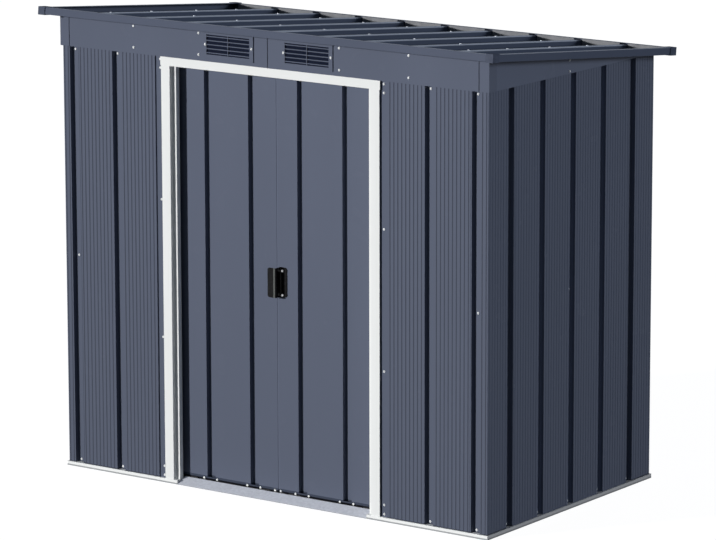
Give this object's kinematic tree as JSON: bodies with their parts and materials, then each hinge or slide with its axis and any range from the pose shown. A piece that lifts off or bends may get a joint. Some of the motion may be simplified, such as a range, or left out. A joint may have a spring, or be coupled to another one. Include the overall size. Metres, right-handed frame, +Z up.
{
  "type": "metal storage shed",
  "caption": "Pent-roof garden shed of grooved painted steel sheet with a pair of sliding doors, a white door frame and base rails, slotted fascia vents and a ribbed roof.",
  "frame": {"origin": "on the ground, in the middle of the roof's plan", "axes": "+X to the right and -Y to the front, as seen from the door side; +Z up"},
  "size_m": [2.024, 1.2116, 1.7523],
  "materials": {
    "wall_sheet": "satin anthracite paint",
    "roof_sheet": "satin anthracite paint",
    "white_trim": "satin off-white paint",
    "dark_trim": "satin dark slate paint",
    "galvanised": "dull galvanised",
    "cap_plastic": "matt moulded",
    "black_plastic": "matt moulded"
  },
  "bodies": {
    "shed": {"base_rail_front": "white_trim", "base_rail_back": "white_trim", "base_rail_left": "white_trim", "base_rail_right": "white_trim", "door_floor_track": "galvanised", "door_sill": "galvanised", "front_panel_left": "wall_sheet", "front_panel_right": "wall_sheet", "front_corner_left": "wall_sheet", "front_corner_right": "wall_sheet", "side_panel_left": "wall_sheet", "side_panel_right": "wall_sheet", "back_corner_left": "wall_sheet", "back_corner_right": "wall_sheet", "back_panel_left": "wall_sheet", "back_panel_right": "wall_sheet", "mid_rails": "galvanised", "door_jamb_left": "white_trim", "door_jamb_right": "white_trim", "door_header": "white_trim", "front_top_rail": "galvanised", "back_top_rail": "galvanised", "side_top_rails": "galvanised", "door_top_track": "galvanised", "fascia_left": "wall_sheet", "fascia_right": "wall_sheet", "fascia_corners": "wall_sheet", "vent_left": "wall_sheet", "vent_right": "wall_sheet", "gable_left": "wall_sheet", "gable_right": "wall_sheet", "roof_beams": "galvanised", "roof_sheet_left": "roof_sheet", "roof_sheet_right": "roof_sheet", "roof_trim_front": "roof_sheet", "roof_trim_back": "roof_sheet", "roof_trim_left": "roof_sheet", "roof_trim_right": "roof_sheet", "roof_corner_caps": "cap_plastic"},
    "left_door": {"left_door_panel": "wall_sheet", "left_door_rails": "dark_trim", "left_door_glides": "black_plastic"},
    "right_door": {"right_door_panel": "wall_sheet", "right_door_rails": "dark_trim", "right_door_glides": "black_plastic", "door_handle": "black_plastic"}
  },
  "joints": [
    {"name": "left_door_slide", "type": "slide", "parent": "shed", "child": "left_door", "axis": [-1, 0, 0], "range_m": [0, 0.39]},
    {"name": "right_door_slide", "type": "slide", "parent": "shed", "child": "right_door", "axis": [1, 0, 0], "range_m": [0, 0.39]}
  ]
}
